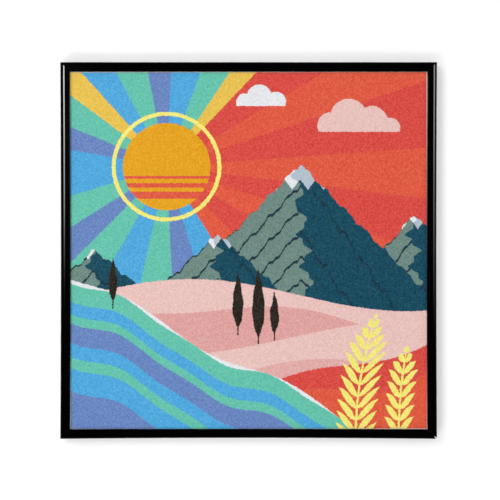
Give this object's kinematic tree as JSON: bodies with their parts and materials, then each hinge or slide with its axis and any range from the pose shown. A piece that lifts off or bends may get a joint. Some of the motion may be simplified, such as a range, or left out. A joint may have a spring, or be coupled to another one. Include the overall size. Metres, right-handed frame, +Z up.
{
  "type": "vinyl record frame",
  "caption": "Square black wall frame for a record jacket, with a clear front, a printed insert, a board held by turn clips and a sawtooth hanger.",
  "frame": {"origin": "the nail's seat: the middle notch of the sawtooth hanger, on the plane of the wall", "axes": "+Z up the wall, +Y into the wall, +X to the right as the picture is seen; the picture faces -Y"},
  "size_m": [0.3302, 0.015, 0.3301],
  "materials": {
    "gloss_black": "gloss",
    "clear_acrylic": "gloss",
    "printed_card": "matte",
    "corrugated_card": "matte",
    "fibreboard": "matte",
    "nylon": "satin",
    "zinc_steel": "satin"
  },
  "bodies": {
    "frame": {"rail_top": "gloss_black", "rail_right": "gloss_black", "rail_bottom": "gloss_black", "rail_left": "gloss_black", "corner_key_top_right": "nylon", "corner_key_bottom_right": "nylon", "corner_key_bottom_left": "nylon", "corner_key_top_left": "nylon", "clear_front": "clear_acrylic", "insert_print": "printed_card", "filler_board": "corrugated_card", "backing_board": "fibreboard", "clip_rivet_top_left": "zinc_steel", "clip_rivet_top_right": "zinc_steel", "clip_rivet_right_top": "zinc_steel", "clip_rivet_right_bottom": "zinc_steel", "clip_rivet_bottom_right": "zinc_steel", "clip_rivet_bottom_left": "zinc_steel", "clip_rivet_left_bottom": "zinc_steel", "clip_rivet_left_top": "zinc_steel", "sawtooth_hanger": "zinc_steel", "hanger_rivet_left": "zinc_steel", "hanger_rivet_right": "zinc_steel"},
    "clip_top_left": {"turn_clip_top_left": "zinc_steel"},
    "clip_top_right": {"turn_clip_top_right": "zinc_steel"},
    "clip_right_top": {"turn_clip_right_top": "zinc_steel"},
    "clip_right_bottom": {"turn_clip_right_bottom": "zinc_steel"},
    "clip_bottom_right": {"turn_clip_bottom_right": "zinc_steel"},
    "clip_bottom_left": {"turn_clip_bottom_left": "zinc_steel"},
    "clip_left_bottom": {"turn_clip_left_bottom": "zinc_steel"},
    "clip_left_top": {"turn_clip_left_top": "zinc_steel"}
  },
  "joints": [
    {"name": "clip_top_left_turn", "type": "hinge", "parent": "frame", "child": "clip_top_left", "pos_m": [-0.08585, -0.00295, 0.0002], "axis": [0, 1, 0], "continuous": true},
    {"name": "clip_top_right_turn", "type": "hinge", "parent": "frame", "child": "clip_top_right", "pos_m": [0.08585, -0.00295, 0.0002], "axis": [0, 1, 0], "continuous": true},
    {"name": "clip_right_top_turn", "type": "hinge", "parent": "frame", "child": "clip_right_top", "pos_m": [0.14375, -0.00295, -0.0577], "axis": [0, 1, 0], "continuous": true},
    {"name": "clip_right_bottom_turn", "type": "hinge", "parent": "frame", "child": "clip_right_bottom", "pos_m": [0.14375, -0.00295, -0.2294], "axis": [0, 1, 0], "continuous": true},
    {"name": "clip_bottom_right_turn", "type": "hinge", "parent": "frame", "child": "clip_bottom_right", "pos_m": [0.08585, -0.00295, -0.2873], "axis": [0, 1, 0], "continuous": true},
    {"name": "clip_bottom_left_turn", "type": "hinge", "parent": "frame", "child": "clip_bottom_left", "pos_m": [-0.08585, -0.00295, -0.2873], "axis": [0, 1, 0], "continuous": true},
    {"name": "clip_left_bottom_turn", "type": "hinge", "parent": "frame", "child": "clip_left_bottom", "pos_m": [-0.14375, -0.00295, -0.2294], "axis": [0, 1, 0], "continuous": true},
    {"name": "clip_left_top_turn", "type": "hinge", "parent": "frame", "child": "clip_left_top", "pos_m": [-0.14375, -0.00295, -0.0577], "axis": [0, 1, 0], "continuous": true}
  ]
}
